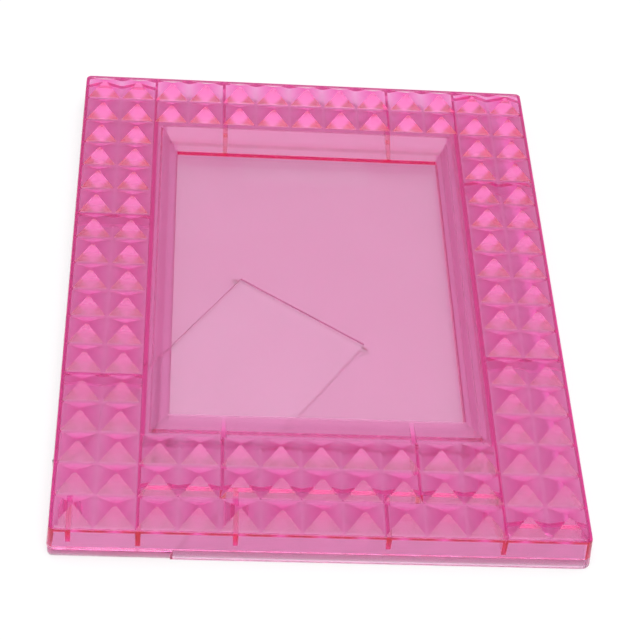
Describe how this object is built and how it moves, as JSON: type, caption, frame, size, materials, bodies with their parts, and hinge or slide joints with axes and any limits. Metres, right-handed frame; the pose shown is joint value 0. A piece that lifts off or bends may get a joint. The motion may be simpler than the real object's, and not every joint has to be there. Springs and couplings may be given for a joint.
{
  "type": "picture frame",
  "caption": "Translucent moulded picture frame with pyramid studs round a bevelled window, a clear pane, a lift-out back cover and a folding easel leg.",
  "frame": {"origin": "middle of the rear rim, on the plane that the frame lies on", "axes": "+Z out of the studded front face, +Y to the top of the frame, +X to its right seen from the front"},
  "size_m": [0.1994, 0.2594, 0.0188],
  "materials": {
    "pink_frame": "translucent, satin gloss",
    "clear_pane": "clear, polished",
    "pink_cover": "translucent, satin gloss",
    "pink_leg": "translucent, satin gloss"
  },
  "bodies": {
    "frame": {"front_frame": "pink_frame", "window_pane": "clear_pane"},
    "cover": {"back_cover": "pink_cover"},
    "leg": {"easel_leg": "pink_leg"}
  },
  "joints": [
    {"name": "cover_lift", "type": "slide", "parent": "frame", "child": "cover", "axis": [0, 0, -1], "range_m": [0, 0.03]},
    {"name": "leg_hinge", "type": "hinge", "parent": "cover", "child": "leg", "pos_m": [-0.0054, -0.0073, 0.002], "axis": [0.8161, -0.5779, 0], "range_deg": [0, 45]}
  ]
}
